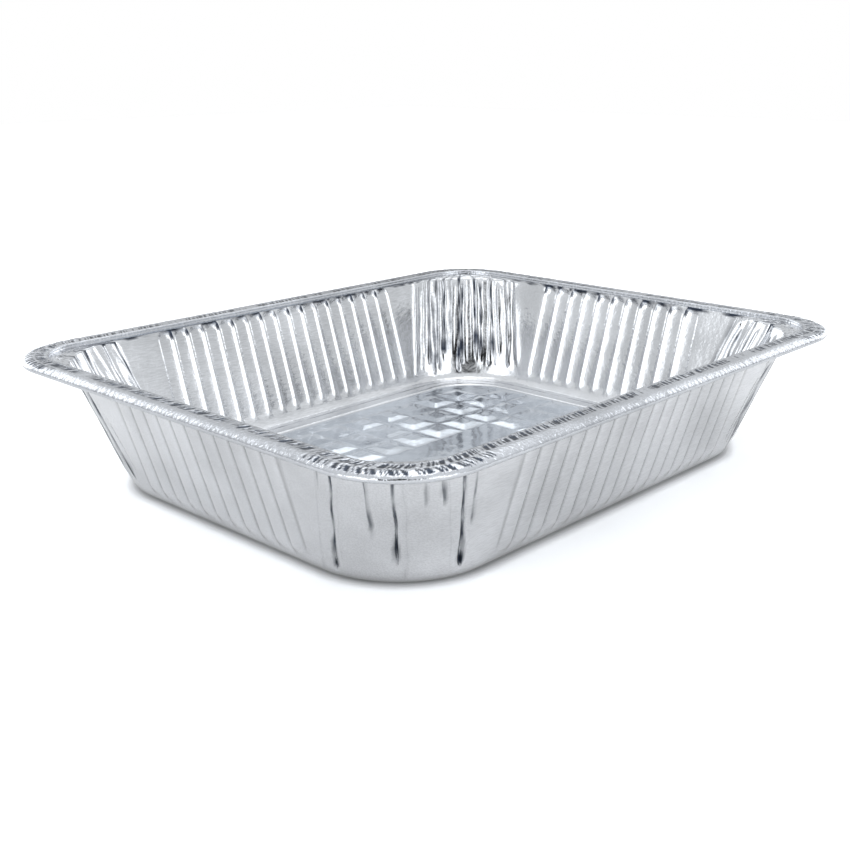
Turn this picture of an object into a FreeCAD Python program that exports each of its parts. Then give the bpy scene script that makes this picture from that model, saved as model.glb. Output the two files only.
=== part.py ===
import FreeCAD, Part
import math
import os

# Foil tray with a rolled rim, pressed from one sheet of aluminium
# Millimetres, +X along the longer side, +Z up, origin on the table under the centre

# Rim outline
rim_half_x = 162.0
rim_half_y = 132.0
rim_corner_radius = 36.3
rim_top = 61.4
rim_reach = 12.1
flange_reach = 8.2
rim_sheet = 0.5
rim_drop = 2.3
curl_radius = 1.2
neck_bend = 0.8
rim_facets = 9
mitre_room = 0.02

# Walls and floor
sheet = 0.2
wall_foot_x = 131.3
wall_foot_y = 101.6
wall_lean = 0.313
corner_radius = 45.4
foot_rounding = 5.8
foot_facets = 3
shoulder_start = 52.0
shoulder_mid = 57.0
shoulder_mid_radius = 38.0
wall_top = 59.3

# Beads pressed outward in the walls
bead_pitch = 9.6
bead_width = 7.6
bead_crest_width = 5.0
bead_depth = 1.0
bead_foot = 5.6
bead_head = 59.0
bead_end_facets = 3
beads_on_long_wall = 17
beads_on_short_wall = 11

# Folds in the corners, angles counted from the long wall
fold_angles = [18.0, 26.0, 36.0, 48.0, 59.0, 72.0]
fold_depths = [1.7, 0.9, 1.1, 1.5, 0.9, 1.7]
fold_half_angle = 1.4
fold_foot = 14.0
fold_foot_share = 0.7
fold_shoulder_share = 0.7
fold_free_angle = 9.0

# Raised floor and its field of square pads
plateau_inset = 14.3
plateau_rise = 0.8
plateau_slope = 1.3
plateau_facets = 6
pad_pitch = 18.9
pad_base = 17.9
pad_top = 8.0
pad_rise = 0.8
pads_half_x = 6
pads_half_y = 4
panel_half_x = 3
panel_half_y = 1

# Crimps across the top of the rim
crimp_width = 0.9
crimp_height = 0.35
crimp_margin = 1.5
crimp_corner_step = 5.0
crimp_side_step = 13.5

# Worked out from the sizes above
inner_half_x = rim_half_x - rim_reach
inner_half_y = rim_half_y - rim_reach
inner_radius = rim_corner_radius - rim_reach
wall_rows = [
    (fold_foot, corner_radius, fold_foot_share),
    (shoulder_start, corner_radius, 1.0),
    (shoulder_mid, shoulder_mid_radius, fold_shoulder_share),
]

up = FreeCAD.Vector(0, 0, 1)
overlap = 0.1
neck_overlap = 0.5
flat_within = 1e-8


def vec(x, y, z):
    return FreeCAD.Vector(x, y, z)


# Solids with flat facets, built up from closed outlines that match point by point

def flat_face(points):
    return Part.Face(Part.makePolygon(points + [points[0]]))


def is_flat(a, b, c, d):
    normal = (b - a).cross(c - a)
    normal.normalize()
    return abs((d - a).dot(normal)) < flat_within


def band(low, high):
    """Facets between two outlines; a twisted one is halved along its diagonal."""
    faces = []
    for i in range(len(low)):
        k = (i + 1) % len(low)
        a, b, c, d = low[i], low[k], high[k], high[i]
        if is_flat(a, b, c, d):
            faces.append(flat_face([a, b, c, d]))
        else:
            faces.append(flat_face([a, b, c]))
            faces.append(flat_face([a, c, d]))
    return faces


def solid_of(faces):
    shell = Part.Shell(faces)
    shell.sewShape()
    solid = Part.Solid(shell)
    if solid.Volume < 0:
        solid.reverse()
    return solid


def stack(outlines):
    """Solid with the first and last outline as its flat ends."""
    faces = [flat_face(outlines[0]), flat_face(outlines[-1])]
    for low, high in zip(outlines, outlines[1:]):
        faces += band(low, high)
    return solid_of(faces)


def ring(outlines):
    """Solid hoop whose section runs through all the outlines and back to the first."""
    faces = []
    for low, high in zip(outlines, outlines[1:] + outlines[:1]):
        faces += band(low, high)
    return solid_of(faces)


def rounded_outline(half_x, half_y, z, corner):
    """Closed list of points; corner gives angle and radius, and the four corners mirror each other."""
    full = corner[0][1]
    quarter = []
    for angle, radius in corner:
        turn = math.radians(90.0 - angle)
        x = half_x - full + radius * math.cos(turn)
        y = half_y - full + radius * math.sin(turn)
        quarter.append((x, y))
    back = quarter[::-1]
    points = [vec(x, y, z) for x, y in back]
    points += [vec(-x, y, z) for x, y in quarter]
    points += [vec(-x, -y, z) for x, y in back]
    points += [vec(x, -y, z) for x, y in quarter]
    return points


def plain_outline(half_x, half_y, radius, z, facets):
    corner = [(90.0 * k / facets, radius) for k in range(facets + 1)]
    return rounded_outline(half_x, half_y, z, corner)


# Body of the tray: level outlines with the corner folds in them

def level_outline(half_x, half_y, radius, z, fold):
    corner = [(0.0, radius), (fold_free_angle, radius)]
    for angle, depth in zip(fold_angles, fold_depths):
        corner.append((angle - fold_half_angle, radius))
        corner.append((angle, radius - depth * fold))
        corner.append((angle + fold_half_angle, radius))
    corner += [(90.0 - fold_free_angle, radius), (90.0, radius)]
    return rounded_outline(half_x, half_y, z, corner)


def body_levels():
    """Level outlines from the table up: rounded foot, leaning wall, shoulder and neck."""
    lean_angle = math.atan(wall_lean)
    foot_height = foot_rounding * (1.0 - math.sin(lean_angle))
    foot_centre = wall_lean * foot_height - foot_rounding * math.cos(lean_angle)
    rows = []
    for k in range(foot_facets + 1):
        turn = -math.pi / 2.0 + k / foot_facets * (math.pi / 2.0 - lean_angle)
        outset = foot_centre + foot_rounding * math.cos(turn)
        z = foot_rounding * (1.0 + math.sin(turn))
        rows.append((outset, z, corner_radius + outset - wall_lean * foot_height, 0.0))
    for z, radius, fold in wall_rows:
        rows.append((wall_lean * z, z, radius, fold))
    levels = []
    for outset, z, radius, fold in rows:
        levels.append(level_outline(wall_foot_x + outset, wall_foot_y + outset, radius, z, fold))
    for z in (wall_top, wall_top + neck_overlap):
        levels.append(level_outline(inner_half_x, inner_half_y, inner_radius, z, 0.0))
    return levels


def inner_levels(levels):
    """The same outlines moved inward by the thickness of the sheet."""
    moved = []
    last = len(levels) - 1
    count = len(levels[0])
    for j, points in enumerate(levels):
        if j == 0:
            moved.append([p + up * sheet for p in points])
            continue
        row = []
        for i, p in enumerate(points):
            along = points[(i + 1) % count] - points[i - 1]
            above = levels[min(j + 1, last)][i] - levels[max(j - 1, 0)][i]
            if j >= last - 1:
                above = up
            normal = along.cross(above)
            normal.normalize()
            row.append(p - normal * sheet)
        moved.append(row)
    top = moved[-1]
    moved.append([p + up for p in top])
    return moved


outer_levels = body_levels()
tray = stack(outer_levels).cut(stack(inner_levels(outer_levels)))


# Raised floor

def plateau(bottom, rise):
    half_x = wall_foot_x - plateau_inset
    half_y = wall_foot_y - plateau_inset
    radius = corner_radius - plateau_inset
    outlines = []
    for inset, z in ((0.0, bottom), (plateau_slope, bottom + rise)):
        outlines.append(plain_outline(half_x - inset, half_y - inset, radius - inset, z, plateau_facets))
    return stack(outlines)


floor_up = plateau(sheet - overlap, plateau_rise + overlap)
floor_down = floor_up.copy()
floor_down.translate(vec(0, 0, -sheet))
tray = tray.fuse(floor_up).cut(floor_down)


# Square pads on the floor, left out round the smooth middle panel and in the rounded corners

def square(x, y, side, z):
    half = side / 2.0
    return [
        vec(x - half, y - half, z),
        vec(x + half, y - half, z),
        vec(x + half, y + half, z),
        vec(x - half, y + half, z),
    ]


def pad(x, y):
    ground = plateau_rise + sheet - overlap
    spread = (pad_base - pad_top) * overlap / pad_rise
    low = square(x, y, pad_base + spread, ground)
    high = square(x, y, pad_top, ground + overlap + pad_rise)
    return stack([low, high])


def pad_wanted(i, j):
    in_panel = abs(i) < panel_half_x and abs(j) < panel_half_y
    in_corner = abs(i) > pads_half_x - 1 and abs(j) > pads_half_y - 1
    return not in_panel and not in_corner


pads = []
for column in range(2 * pads_half_x):
    for row in range(2 * pads_half_y):
        i = column - pads_half_x + 0.5
        j = row - pads_half_y + 0.5
        if pad_wanted(i, j):
            pads.append(pad(i * pad_pitch, j * pad_pitch))
pads_below = []
for raised in pads:
    lowered = raised.copy()
    lowered.translate(vec(0, 0, -sheet))
    pads_below.append(lowered)
tray = tray.fuse(pads).cut(pads_below)


# Beads in the walls

def slot(origin, across, along, half_width, low, high):
    """Outline with faceted round ends about the points low and high of the bead's middle line."""
    points = []
    for centre, start in ((low, 180.0), (high, 0.0)):
        for k in range(bead_end_facets + 1):
            turn = math.radians(start + 180.0 * k / bead_end_facets)
            place = origin + along * (centre + half_width * math.sin(turn))
            points.append(place + across * (half_width * math.cos(turn)))
    return points


def bead(across, outward, foot, place):
    """One bead on the wall whose foot line lies at the given distance from the centre."""
    along = outward * wall_lean + up
    along.normalize()
    normal = across.cross(along)
    if normal.dot(outward) < 0:
        normal = normal * -1
    stretch = math.sqrt(1.0 + wall_lean * wall_lean)
    low = bead_foot * stretch + bead_width / 2.0
    high = bead_head * stretch - bead_width / 2.0
    origin = outward * foot + across * place
    outlines = []
    for depth in (-overlap, bead_depth):
        half = (bead_width + (bead_crest_width - bead_width) * depth / bead_depth) / 2.0
        outlines.append(slot(origin + normal * depth, across, along, half, low, high))
    return stack(outlines), normal


beads = []
beads_inside = []
for outward, across, foot, count in (
    (vec(0, -1, 0), vec(1, 0, 0), wall_foot_y, beads_on_long_wall),
    (vec(0, 1, 0), vec(1, 0, 0), wall_foot_y, beads_on_long_wall),
    (vec(-1, 0, 0), vec(0, 1, 0), wall_foot_x, beads_on_short_wall),
    (vec(1, 0, 0), vec(0, 1, 0), wall_foot_x, beads_on_short_wall),
):
    for k in range(count):
        place = (k - (count - 1) / 2.0) * bead_pitch
        solid, normal = bead(across, outward, foot, place)
        hollow = solid.copy()
        hollow.translate(normal * -sheet)
        beads.append(solid)
        beads_inside.append(hollow)
tray = tray.fuse(beads).cut(beads_inside)


# Rim: neck, flat flange, sloping outer face and the curl under it

def bend(centre, reach, height, start, end, facets):
    """Points on a quarter or half ellipse, without its first one."""
    points = []
    for k in range(1, facets + 1):
        turn = math.radians(start + (end - start) * k / facets)
        points.append((centre[0] + reach * math.cos(turn), centre[1] + height * math.sin(turn)))
    return points


def rim_path():
    """Middle line of the rim section as outward distance from the wall top and height."""
    top = rim_top - rim_sheet / 2.0
    edge = rim_reach - rim_sheet / 2.0 - mitre_room
    neck = -sheet / 2.0
    shoulder = flange_reach - 1.0
    path = [(neck, wall_top), (neck, top - neck_bend)]
    path += bend((neck + neck_bend, top - neck_bend), neck_bend, neck_bend, 180.0, 90.0, 2)
    path.append((shoulder, top))
    path += bend((shoulder, top - rim_drop), edge - shoulder, rim_drop, 90.0, 0.0, 4)
    path += bend((edge - curl_radius, top - rim_drop), curl_radius, curl_radius, 0.0, -180.0, 4)
    return path


def strip(path, half):
    """Closed section of a strip of the given half thickness laid along a path."""
    left = []
    right = []
    for i, (x, z) in enumerate(path):
        before = path[max(i - 1, 0)]
        after = path[min(i + 1, len(path) - 1)]
        unit_in = direction(before, (x, z))
        unit_out = direction((x, z), after)
        if i == 0:
            unit_in = unit_out
        if i == len(path) - 1:
            unit_out = unit_in
        mitre_x = -(unit_in[1] + unit_out[1])
        mitre_z = unit_in[0] + unit_out[0]
        scale = 2.0 * half / (mitre_x * mitre_x + mitre_z * mitre_z)
        left.append((x + mitre_x * scale, z + mitre_z * scale))
        right.append((x - mitre_x * scale, z - mitre_z * scale))
    return left + right[::-1]


def direction(start, end):
    dx = end[0] - start[0]
    dz = end[1] - start[1]
    length = math.hypot(dx, dz) or 1.0
    return dx / length, dz / length


centre_x = inner_half_x - inner_radius
centre_y = inner_half_y - inner_radius
rim_outlines = []
for reach, z in strip(rim_path(), rim_sheet / 2.0):
    outline = plain_outline(inner_half_x + reach, inner_half_y + reach, inner_radius + reach, z, rim_facets)
    rim_outlines.append(outline)
rim = ring(rim_outlines)


# Crimps: low radial folds across the flange

def crimp(near, far, across):
    low = rim_top - overlap
    side = across * (crimp_width / 2.0)
    lift = up * (crimp_height + overlap)
    outlines = []
    for point in (near, far):
        base = vec(point.x, point.y, low)
        outlines.append([base - side, base + side, base + lift])
    return stack(outlines)


crimps = []
near_reach = crimp_margin
far_reach = flange_reach - crimp_margin
corner_count = int(round(90.0 / crimp_corner_step))
for sign_x in (1, -1):
    for sign_y in (1, -1):
        for k in range(corner_count):
            turn = math.radians((k + 0.5) * crimp_corner_step)
            out = vec(sign_x * math.cos(turn), sign_y * math.sin(turn), 0)
            centre = vec(sign_x * centre_x, sign_y * centre_y, 0)
            near = centre + out * (inner_radius + near_reach)
            far = centre + out * (inner_radius + far_reach)
            crimps.append(crimp(near, far, up.cross(out)))
for out, half, length in (
    (vec(1, 0, 0), inner_half_x, centre_y),
    (vec(-1, 0, 0), inner_half_x, centre_y),
    (vec(0, 1, 0), inner_half_y, centre_x),
    (vec(0, -1, 0), inner_half_y, centre_x),
):
    across = up.cross(out)
    count = int(2.0 * length / crimp_side_step)
    for k in range(count):
        shift = across * ((k - (count - 1) / 2.0) * crimp_side_step)
        near = out * (half + near_reach) + shift
        far = out * (half + far_reach) + shift
        crimps.append(crimp(near, far, across))
rim = rim.fuse(crimps)

tray = tray.fuse(rim).removeSplitter()
if tray.ShapeType != "Solid" and len(tray.Solids) == 1:
    tray = tray.Solids[0]

os.makedirs("parts", exist_ok=True)
tray.exportStep("parts/foil_tray.step")
print("solids", len(tray.Solids), "faces", len(tray.Faces), "valid", tray.isValid(), "volume", tray.Volume)
print("bounds", tray.BoundBox)
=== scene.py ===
"""Aluminium foil tray: beaded walls with creased corners, an embossed floor and a crimped rolled rim."""

import math

import bpy
import numpy as np
from bpy.props import FloatProperty, FloatVectorProperty, IntProperty, PointerProperty
from mathutils import Matrix, Vector
from mathutils.geometry import delaunay_2d_cdt


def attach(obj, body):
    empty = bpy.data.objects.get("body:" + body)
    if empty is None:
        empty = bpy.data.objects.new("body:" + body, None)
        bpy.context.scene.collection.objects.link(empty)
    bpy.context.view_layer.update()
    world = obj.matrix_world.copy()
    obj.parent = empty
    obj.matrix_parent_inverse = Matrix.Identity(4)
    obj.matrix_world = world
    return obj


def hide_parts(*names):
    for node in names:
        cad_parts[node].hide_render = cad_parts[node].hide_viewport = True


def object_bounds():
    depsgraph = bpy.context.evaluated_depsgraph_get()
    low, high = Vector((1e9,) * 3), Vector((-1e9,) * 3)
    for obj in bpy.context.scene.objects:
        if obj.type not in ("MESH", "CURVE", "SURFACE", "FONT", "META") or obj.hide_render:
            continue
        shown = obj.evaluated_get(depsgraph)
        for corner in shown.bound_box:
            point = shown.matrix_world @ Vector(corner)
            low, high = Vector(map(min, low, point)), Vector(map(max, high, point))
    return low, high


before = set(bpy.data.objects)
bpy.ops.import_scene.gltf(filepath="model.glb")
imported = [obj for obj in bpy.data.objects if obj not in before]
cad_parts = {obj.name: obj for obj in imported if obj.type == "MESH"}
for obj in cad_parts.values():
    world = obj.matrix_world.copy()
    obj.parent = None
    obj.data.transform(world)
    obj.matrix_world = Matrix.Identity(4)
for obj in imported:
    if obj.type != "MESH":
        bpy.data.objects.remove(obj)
cad_low, cad_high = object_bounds()

bl_info = {
    "name": "Foil tray",
    "version": (1, 0, 0),
    "blender": (4, 5, 0),
    "location": "3D View > Sidebar > Foil tray",
    "description": "Presses an aluminium foil tray with beaded walls, an embossed floor and a crimped rim",
    "category": "Object",
}

mm = 0.001

# Shape of the sheet that the pieces share, in millimetres
sheet = 0.2
wall_lean = 0.313
foot_rounding = 5.8
plateau_inset = 14.3
plateau_slope = 1.6
neck_height = 59.3
shelf_start = 58.2
shelf_ripples = 4.0
rim_reach = 12.1
rim_corner_radius = 36.3


# Sizes and colours that a user may change

class WallSizes(bpy.types.PropertyGroup):
    """Sizes of the beaded walls"""

    foot_x: FloatProperty(
        name="Foot half length", description="Half length of the tray where the walls meet the table",
        default=131.3 * mm, unit="LENGTH",
    )
    foot_y: FloatProperty(
        name="Foot half width", description="Half width of the tray where the walls meet the table",
        default=101.6 * mm, unit="LENGTH",
    )
    corner_radius: FloatProperty(
        name="Corner radius", description="Radius of the upright corners", default=45.4 * mm, unit="LENGTH",
    )
    bead_pitch: FloatProperty(
        name="Bead pitch", description="Distance from one bead to the next",
        default=9.6 * mm, unit="LENGTH",
    )
    bead_width: FloatProperty(
        name="Bead width", description="Width of a bead at its foot", default=9.4 * mm, unit="LENGTH",
    )
    bead_crest: FloatProperty(
        name="Bead crest", description="Width of the flat crest of a bead", default=5.6 * mm, unit="LENGTH",
    )
    bead_depth: FloatProperty(
        name="Bead depth", description="How far a bead stands out", default=0.62 * mm, unit="LENGTH",
    )
    long_beads: IntProperty(
        name="Beads on a long wall", description="Number of beads on each long wall", default=17,
    )
    short_beads: IntProperty(
        name="Beads on a short wall", description="Number of beads on each short wall", default=11,
    )
    crease_seed: IntProperty(
        name="Crease seed", description="Seed of the small creases in the corners", default=7,
    )


class FloorSizes(bpy.types.PropertyGroup):
    """Sizes of the embossed floor"""

    pad_pitch: FloatProperty(
        name="Pad pitch", description="Distance from one square pad to the next",
        default=18.9 * mm, unit="LENGTH",
    )
    pad_rise: FloatProperty(
        name="Pad rise", description="Height of a pad above the raised floor",
        default=1.2 * mm, unit="LENGTH",
    )
    plateau_rise: FloatProperty(
        name="Floor rise", description="Height of the raised floor", default=0.8 * mm, unit="LENGTH",
    )


class RimSizes(bpy.types.PropertyGroup):
    """Sizes of the rolled rim"""

    crimp_pitch: FloatProperty(
        name="Crimp pitch", description="Distance from one crimp to the next",
        default=2.3 * mm, unit="LENGTH",
    )
    crimp_depth: FloatProperty(
        name="Crimp depth", description="Depth of a crimp in the flange", default=0.32 * mm, unit="LENGTH",
    )
    crimp_seed: IntProperty(
        name="Crimp seed", description="Seed of the uneven crimps", default=11,
    )


class FoilLook(bpy.types.PropertyGroup):
    """Finish of the foil and light of the stage"""

    colour: FloatVectorProperty(
        name="Foil colour", description="Colour of the bright aluminium", subtype="COLOR", size=3,
        default=(0.79, 0.80, 0.82), min=0.0, max=1.0,
    )
    # Colour of the painted shade deep in a sharp crease, crimp or notch
    crease_shade_colour: FloatVectorProperty(
        name="Crease colour", description="Colour deep in a sharp crease", subtype="COLOR", size=3,
        default=(0.035, 0.045, 0.065), min=0.0, max=1.0,
    )
    roughness: FloatProperty(
        name="Roughness", description="Roughness of the smooth foil", default=0.16, subtype="FACTOR",
        min=0.0, max=1.0,
    )
    lamp_power: FloatProperty(
        name="Lamp power", description="Power of the overhead soft lamp", default=1.3, subtype="POWER",
    )


# Short ways to wire nodes

class Wiring:
    """Adds nodes to one tree and links them."""

    def __init__(self, tree):
        self.tree = tree

    def add(self, kind, inputs=None, **settings):
        node = self.tree.nodes.new(kind)
        for name, value in settings.items():
            setattr(node, name, value)
        for socket, value in (inputs or {}).items():
            self.feed(node.inputs[socket], value)
        return node

    def feed(self, socket, value):
        if isinstance(value, bpy.types.NodeSocket):
            self.tree.links.new(value, socket)
        else:
            socket.default_value = value

    def math(self, operation, *values, clamp=False):
        node = self.add("ShaderNodeMath", operation=operation, use_clamp=clamp)
        for socket, value in zip(node.inputs, values):
            self.feed(socket, value)
        return node.outputs[0]

    def plus(self, value, *others):
        for other in others:
            value = self.math("ADD", value, other)
        return value

    def minus(self, value, less):
        return self.math("SUBTRACT", value, less)

    def times(self, value, *others):
        for other in others:
            value = self.math("MULTIPLY", value, other)
        return value

    def larger(self, value, *others):
        for other in others:
            value = self.math("MAXIMUM", value, other)
        return value

    def diagonal(self, across, up):
        squares = self.plus(self.math("POWER", across, 2.0), self.math("POWER", up, 2.0))
        return self.math("SQRT", squares)

    def vectors(self, operation, inputs):
        return self.add("ShaderNodeVectorMath", inputs, operation=operation)

    def ramp(self, value, from_min, from_max, to_min, to_max, smooth=True):
        shape = "SMOOTHSTEP" if smooth else "LINEAR"
        node = self.add("ShaderNodeMapRange", interpolation_type=shape)
        for socket, given in zip(node.inputs, (value, from_min, from_max, to_min, to_max)):
            self.feed(socket, given)
        return node.outputs[0]

    def attribute(self, name, kind="FLOAT"):
        node = self.add("GeometryNodeInputNamedAttribute", {"Name": name}, data_type=kind)
        return node.outputs[0]

    def noise(self, value, scale, detail, seed, dimensions="1D"):
        inputs = {"Scale": scale, "Detail": detail}
        node = self.add("ShaderNodeTexNoise", inputs, noise_dimensions=dimensions)
        if dimensions == "1D":
            self.feed(node.inputs["W"], self.plus(value, seed))
        else:
            self.feed(node.inputs["Vector"], value)
            self.feed(node.inputs["W"], seed)
        return node.outputs[0]


def sheet_tree(name, sizes):
    """A new tree for a sheet, with named sizes, a seed and the material as inputs."""
    tree = bpy.data.node_groups.new(name, "GeometryNodeTree")
    tree.interface.new_socket(name="Geometry", in_out="OUTPUT", socket_type="NodeSocketGeometry")
    tree.interface.new_socket(name="Geometry", in_out="INPUT", socket_type="NodeSocketGeometry")
    for label in (*sizes, "Seed"):
        tree.interface.new_socket(name=label, in_out="INPUT", socket_type="NodeSocketFloat")
    tree.interface.new_socket(name="Material", in_out="INPUT", socket_type="NodeSocketMaterial")
    wiring = Wiring(tree)
    given = wiring.add("NodeGroupInput")
    return wiring, given.outputs


def moved(wiring, geometry, offset):
    return wiring.add("GeometryNodeSetPosition", {"Geometry": geometry, "Offset": offset}).outputs[0]


def shaded(wiring, geometry, shade, name="crease"):
    """Keeps the share of painted shade at each point, in a crease, a crimp or between beads, for the foil's
    material.
    """
    inputs = {"Geometry": geometry, "Name": name, "Value": shade}
    return wiring.add("GeometryNodeStoreNamedAttribute", inputs).outputs[0]


def end_tree(wiring, geometry, material):
    whole = wiring.add("GeometryNodeRealizeInstances", {"Geometry": geometry})
    coated = wiring.add("GeometryNodeSetMaterial", {"Geometry": whole.outputs[0], "Material": material})
    wiring.add("NodeGroupOutput", {"Geometry": coated.outputs[0]})
    return wiring.tree


def press_piece(name, mesh, tree, values, thickness):
    """Runs the tree on a sheet, gives it its thickness and leaves one plain mesh."""
    piece = bpy.data.objects.new(name, mesh)
    bpy.context.scene.collection.objects.link(piece)
    modifier = piece.modifiers.new("Pressed", "NODES")
    modifier.node_group = tree
    for item in tree.interface.items_tree:
        if item.in_out == "INPUT" and item.name in values:
            modifier[item.identifier] = values[item.name]
    if thickness:
        solid = piece.modifiers.new("Thickness", "SOLIDIFY")
        solid.thickness = thickness
        solid.offset = -1.0
    graph = bpy.context.evaluated_depsgraph_get()
    pressed = bpy.data.meshes.new_from_object(
        piece.evaluated_get(graph), preserve_all_data_layers=True, depsgraph=graph
    )
    piece.modifiers.clear()
    piece.data = pressed
    pressed.shade_smooth()
    if not pressed.polygons:
        raise RuntimeError(name + " came out empty")
    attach(piece, "root")
    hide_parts("foil_tray")


def lattice_mesh(name, lattice, closed_up=False):
    """Mesh from levels of stations that close round, with the lattice's other entries as attributes."""
    points = lattice.pop("points")
    levels, stations = points.shape[:2]
    number = np.arange(levels * stations).reshape(levels, stations)
    upper = np.roll(number, -1, axis=0)
    if not closed_up:
        number = number[:-1]
        upper = upper[:-1]
    faces = np.stack([number, np.roll(number, -1, axis=1), np.roll(upper, -1, axis=1), upper], axis=-1)
    mesh = bpy.data.meshes.new(name)
    mesh.from_pydata(points.reshape(-1, 3).tolist(), [], faces.reshape(-1, 4).tolist())
    mesh.update()
    for label, values in lattice.items():
        of_vectors = values.ndim == 3
        layer = mesh.attributes.new(label, "FLOAT_VECTOR" if of_vectors else "FLOAT", "POINT")
        layer.data.foreach_set("vector" if of_vectors else "value", values.astype(np.float32).ravel())
    return mesh


def smooth_step(value, start, end):
    share = np.clip((value - start) / (end - start), 0.0, 1.0)
    return share * share * (3.0 - 2.0 * share)


# Walls, in millimetres

# Upright lines of points: across one bead, from its middle, and in the plain stretch beyond the beads
bead_stations = (-4.8, -4.3, -3.8, -3.3, -2.8, 0.0, 2.8, 3.3, 3.8, 4.3)
plain_stations = 6

# Level lines of points: those on the table, among them the painted shade line at the foot, how many round
# the foot, and top and number of each band
floor_lap = 0.6
foot_ring_middle = 9.5
foot_line_start = 1.3
foot_line_end = 0.6
foot_levels = 6
level_bands = ((10.5, 6), (52.0, 11), (shelf_start, 6), (neck_height, 10))
shelf_bend = 0.9


def one_wall(beads, pitch):
    """Places along one wall: across the beads, then shares of the plain stretch beyond them."""
    field = beads * pitch / 2.0
    inner = []
    for k in range(beads):
        centre = (k - (beads - 1) / 2.0) * pitch
        inner += [(centre + step, 0.0) for step in bead_stations]
    beyond = [(field, k / (plain_stations + 1.0)) for k in range(plain_stations + 1)]
    before = [(-place, share) for place, share in beyond[:0:-1]]
    return before + inner + beyond


def wall_levels(radius):
    """Outset from the foot line, height, corner radius and foot shade of each level."""
    lean_angle = math.atan(wall_lean)
    tangent = foot_rounding * (1.0 - math.sin(lean_angle))
    centre = wall_lean * tangent - foot_rounding * math.cos(lean_angle)
    foot_radius = radius - wall_lean * tangent
    neck_radius = rim_corner_radius - rim_reach
    rows = []
    for outset, shade in (
        (-plateau_inset - floor_lap, 0.0),
        (-foot_ring_middle, 0.0),
        (centre - foot_line_start, 0.0),
        (centre - foot_line_end, 1.0),
    ):
        rows.append((outset, 0.0, foot_radius + outset, shade))
    for turn in np.linspace(-math.pi / 2.0, -lean_angle, foot_levels):
        outset = centre + foot_rounding * math.cos(turn)
        rows.append((outset, foot_rounding * (1.0 + math.sin(turn)), foot_radius + outset, 0.0))
    lower = tangent
    for upper, count in level_bands:
        for z in np.linspace(lower, upper, count + 1)[1:]:
            share = max(0.0, (z - shelf_start) / (neck_height - shelf_start))
            rows.append((wall_lean * z, z, radius - (radius - neck_radius) * share ** shelf_bend, 0.0))
        lower = upper
    return rows


class Levels:
    """The walls' levels as columns, with the half length and half width of the tray at each."""

    def __init__(self, sizes):
        table = np.array(wall_levels(sizes.corner_radius / mm))
        outset, z, self.radius, self.foot_shade = (table[:, [k]] for k in range(4))
        self.z = z + sheet * (1.0 - z / neck_height)
        self.shelf = np.clip((self.z - shelf_start) / (neck_height - shelf_start), 0.0, 1.0)
        self.half = (sizes.foot_x / mm + outset, sizes.foot_y / mm + outset)


# Corners are numbered from the one nearest the viewer, anticlockwise from above
corner_signs = ((-1, -1), (1, -1), (1, 1), (-1, 1))

# Creases seen on the nearest corner: degrees from the long wall, depth, half width, foot, head and slant
front_creases = (
    (10.0, 0.6, 1.2, 26.0, 62.0, -0.08),
    (15.0, 1.5, 1.4, 5.0, 62.0, -0.04),
    (24.0, 0.7, 1.3, 38.0, 62.0, 0.1),
    (34.0, 0.4, 1.6, 36.0, 62.0, 0.0),
    (48.0, 1.4, 1.5, 9.0, 61.0, 0.1),
    (60.0, 0.7, 1.3, 24.0, 62.0, 0.09),
    (79.0, 1.5, 1.4, 4.0, 62.0, 0.05),
    (85.0, 0.4, 1.5, 42.0, 60.0, 0.08),
)

# Small creases: how many and how strong in each corner, and the ranges that each is drawn from
small_creases = (10, 24, 28, 24)
crease_strength = (0.12, 1.2, 1.45, 1.2)
place_range = (0.15, 0.85)
depth_range = (0.3, 1.15)
half_width_range = (0.9, 2.4)
foot_range = (1.0, 17.0)
head_range = (46.0, 72.0)
slant_range = (-0.03, 0.03)
# Range of each small crease's share of painted shade
shade_amount_range = (0.35, 0.6)

# Upright lines of points in a corner: steps beside a crease and elsewhere, and the least gaps
core_step = 0.28
shoulder_step = 0.75
shoulder_depth = 1.3
plain_step = 1.6
least_gap = 0.12
corner_margin = 0.3

# Run of a crease: sway as shares and lengths of waves, height where its slant is zero, steeper side
sway_range = (0.25, 0.8)
sway_waves = ((1.0, 13.0), (0.45, 3.3))
slant_pivot = 30.0
steep_range = (0.55, 1.0)
pulse_length = 3.1
foot_fade = 3.0
head_fade = (2.0, 0.5)
most_skew = 0.5
sway_margin = 4.0

# Painted shade line in a crease: width factor of each corner, half width in parts, wider stretch above the
# foot
shade_width = (1.0, 1.5, 1.7, 1.5)
shade_share = 1.1
line_width = 0.24
line_width_by_depth = 0.1
open_width_by_depth = 0.75
open_stretch = (5.0, 6.0, 20.0)
ragged_length = 2.3

# Broad shallow waves across a corner
buckle_strength = (0.2, 0.3, 0.3, 0.3)
buckle_waves = 7
buckle_lengths = (5.0, 17.0)
buckle_slope = 0.12
buckle_start = (3.0, 14.0)

# Ripples of the shelf below the rim, where the creases fade out, with painted shade lines in their troughs
edge_fade = 2.0
crease_top = 58.9
ripple_sway = 0.5
ripple_sway_length = 1.9
ripple_height = 0.7
ripple_line = 0.4
shelf_dent = 0.8

# Shade that comes and goes along a line: its middle level, then size, length and phase of its waves
foot_line_shade = (0.55, ((0.3, 5.3, 0.0), (0.25, 1.9, 1.0)))
ripple_line_shade = (0.4, ((0.6, 1.7, 0.0), (0.4, 0.61, 0.0)))


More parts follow.
